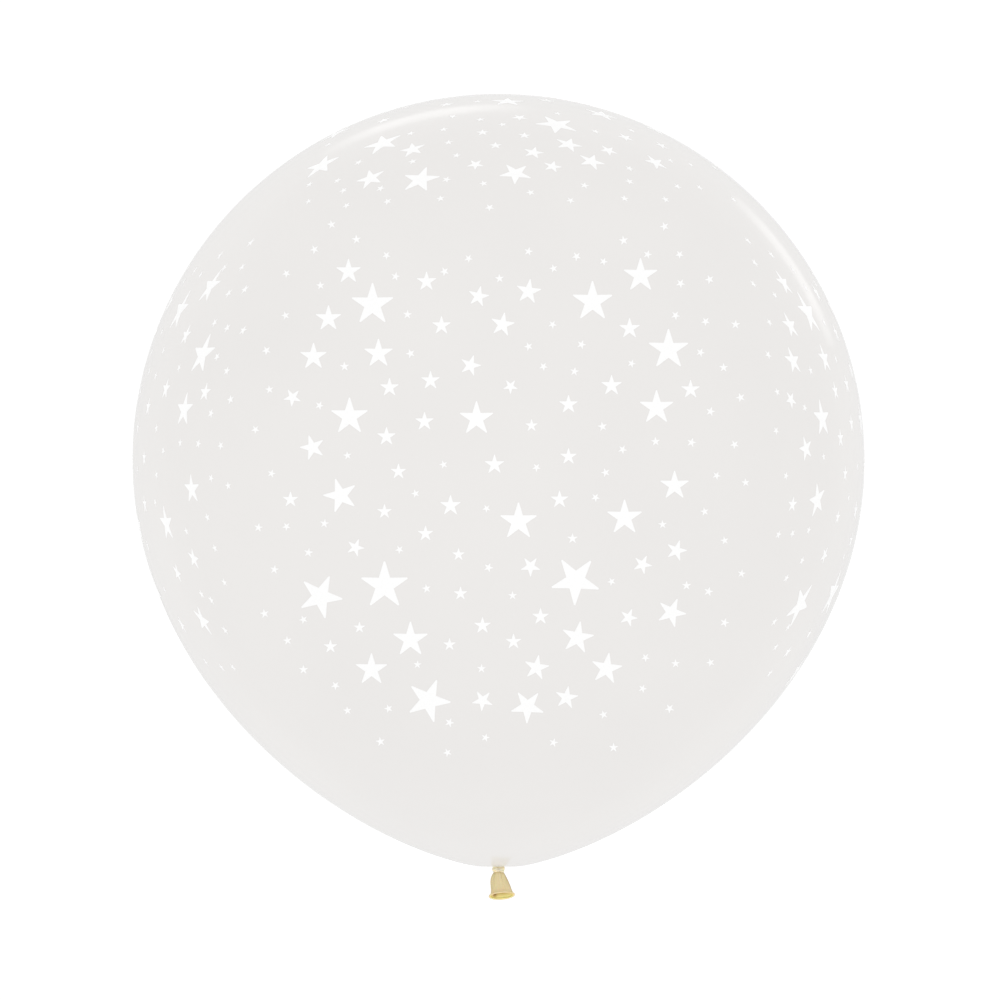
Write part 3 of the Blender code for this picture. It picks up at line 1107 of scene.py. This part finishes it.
world = bpy.data.worlds.new("white surroundings")
world.use_nodes = True
world_tree = world.node_tree
sky = world_tree.nodes["Background"]
sky.inputs["Color"].default_value = WHITE
split = world_tree.nodes.new("ShaderNodeSeparateXYZ")
direction = world_tree.nodes.new("ShaderNodeTexCoord").outputs["Generated"]
world_tree.links.new(direction, split.inputs["Vector"])
height = remap(world_tree, split.outputs["Z"], -1.0, 1.0, 0.0, 1.0)
bands = [(0.5 + 0.5 * level, (strength / BRIGHTEST,) * 3) for level, strength in SURROUNDINGS]
share = ramp(world_tree, height, bands)
world_tree.links.new(remap(world_tree, share, 0.0, 1.0, 0.0, BRIGHTEST), sky.inputs["Strength"])
bpy.context.scene.world = world
bpy.context.scene.view_settings.view_transform = "Standard"
print("surroundings:", len(SURROUNDINGS), "heights")

# %% [markdown]
# A strip light bent round the balloon reflects as a long thin highlight that keeps its distance to the
# edge. It is a ribbon of glowing mesh just above the floor, hidden from the camera. Its glow fades at
# both ends, as the highlight does, and it lets the light of the floor through.

# %% The glow of a strip light
STRIP_FADE_START = 0.10
STRIP_FADE_END = 0.26
STRIP_GLOW = 0.74


def strip_glow(name, middle):
    """A glow that fades away from the middle of a strip."""
    material = bpy.data.materials.new(name)
    material.use_nodes = True
    tree = material.node_tree
    tree.nodes.clear()
    lamp = tree.nodes.new("ShaderNodeEmission")
    clear = tree.nodes.new("ShaderNodeBsdfTransparent")
    both = tree.nodes.new("ShaderNodeAddShader")
    output = tree.nodes.new("ShaderNodeOutputMaterial")
    tree.links.new(lamp.outputs["Emission"], both.inputs[0])
    tree.links.new(clear.outputs["BSDF"], both.inputs[1])
    tree.links.new(both.outputs["Shader"], output.inputs["Surface"])
    from_middle = distance_to(tree, place_on_object(tree), middle)
    fade = remap(tree, from_middle, STRIP_FADE_END, STRIP_FADE_START, 0.0, STRIP_GLOW)
    tree.links.new(fade, lamp.inputs["Strength"])
    return material


# %% [markdown]
# One ribbon lies beyond the crown and one beside the body, each on an arc round the middle of the balloon.

# %% The two strip lights
STRIP_RADIUS = 0.80
STRIP_WIDTH = 0.12
STRIP_HEIGHT = 0.01
STRIP_STEPS = 24
STRIP_ARCS = {"strip_over_crown": (84.0, 121.0), "strip_at_side": (19.0, 48.0)}


def strip_light(name, start, end):
    """A glowing ribbon on an arc round the balloon, between two angles in degrees."""
    points = []
    for step in range(STRIP_STEPS + 1):
        turn = math.radians(start + (end - start) * step / STRIP_STEPS)
        for radius in (STRIP_RADIUS - 0.5 * STRIP_WIDTH, STRIP_RADIUS + 0.5 * STRIP_WIDTH):
            points.append((radius * math.cos(turn), radius * math.sin(turn), STRIP_HEIGHT))
    faces = [(2 * step, 2 * step + 1, 2 * step + 3, 2 * step + 2) for step in range(STRIP_STEPS)]
    mesh = bpy.data.meshes.new(name)
    mesh.from_pydata(points, [], faces)
    centre = math.radians(0.5 * (start + end))
    middle = (STRIP_RADIUS * math.cos(centre), STRIP_RADIUS * math.sin(centre), STRIP_HEIGHT)
    strip = make_object(name, mesh, [strip_glow(name, middle)])
    strip.visible_camera = False
    return strip


strips = [strip_light(name, *arc) for name, arc in STRIP_ARCS.items()]
print("strip lights:", len(strips))

# %% [markdown]
# ## The camera
# The balloon's outline shows no perspective, so the camera stands far away with a very long lens, straight
# above the balloon, with the crown at the top of the picture.

# %% The camera
CLIP_END = 100.0

camera_data = bpy.data.cameras.new("camera")
camera_data.lens = LENS
camera_data.sensor_width = SENSOR
camera_data.clip_end = CLIP_END
camera = bpy.data.objects.new("camera", camera_data)
camera.location = (*PICTURE_CENTRE, AXIS_HEIGHT + CAMERA_DISTANCE)
bpy.context.scene.collection.objects.link(camera)
bpy.context.scene.camera = camera
print("camera", round(camera.location.z, 2), "m above the floor")
